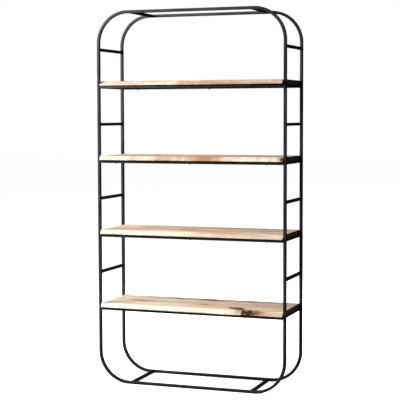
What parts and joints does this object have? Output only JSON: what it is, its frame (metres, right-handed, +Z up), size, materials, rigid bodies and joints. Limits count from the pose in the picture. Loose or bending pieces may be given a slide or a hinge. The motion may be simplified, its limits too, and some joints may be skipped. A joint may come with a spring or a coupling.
{
  "type": "bookcase",
  "caption": "Tall open bookcase: bent square-tube hoops joined by rungs, with thick live-edge timber shelves on tube frames that can be lifted to another height.",
  "frame": {"origin": "on the floor, under the middle of the whole bookcase", "axes": "+Z up, +X to the right seen from the front, -Y out of the front"},
  "size_m": [1, 0.32, 1.9],
  "materials": {
    "tube": "satin powder coat, blue-black",
    "board": "pale solid timber, matt oil",
    "screw": "zinc plated",
    "pin": "turned steel"
  },
  "bodies": {
    "frame": {"front_hoop": "tube", "rear_hoop": "tube", "left_rung_1": "tube", "left_rung_2": "tube", "left_rung_3": "tube", "left_rung_4": "tube", "right_rung_1": "tube", "right_rung_2": "tube", "right_rung_3": "tube", "right_rung_4": "tube", "bottom_bar_left": "tube", "bottom_bar_right": "tube", "top_bar_left": "tube", "top_bar_right": "tube", "shelf_1_pins": "pin", "shelf_2_pins": "pin", "shelf_3_pins": "pin", "shelf_4_pins": "pin"},
    "shelf_1": {"shelf_1_front_rail": "tube", "shelf_1_rear_rail": "tube", "shelf_1_left_rail": "tube", "shelf_1_right_rail": "tube", "shelf_1_board": "board", "shelf_1_screws": "screw"},
    "shelf_2": {"shelf_2_front_rail": "tube", "shelf_2_rear_rail": "tube", "shelf_2_left_rail": "tube", "shelf_2_right_rail": "tube", "shelf_2_board": "board", "shelf_2_screws": "screw"},
    "shelf_3": {"shelf_3_front_rail": "tube", "shelf_3_rear_rail": "tube", "shelf_3_left_rail": "tube", "shelf_3_right_rail": "tube", "shelf_3_board": "board", "shelf_3_screws": "screw"},
    "shelf_4": {"shelf_4_front_rail": "tube", "shelf_4_rear_rail": "tube", "shelf_4_left_rail": "tube", "shelf_4_right_rail": "tube", "shelf_4_board": "board", "shelf_4_screws": "screw"}
  },
  "joints": [
    {"name": "shelf_1_lift", "type": "slide", "parent": "frame", "child": "shelf_1", "axis": [0, 0, 1], "range_m": [0, 0.189]},
    {"name": "shelf_2_lift", "type": "slide", "parent": "frame", "child": "shelf_2", "axis": [0, 0, 1], "range_m": [0, 0.189]},
    {"name": "shelf_3_lift", "type": "slide", "parent": "frame", "child": "shelf_3", "axis": [0, 0, 1], "range_m": [0, 0.189]},
    {"name": "shelf_4_lift", "type": "slide", "parent": "frame", "child": "shelf_4", "axis": [0, 0, 1], "range_m": [0, 0.189]}
  ]
}
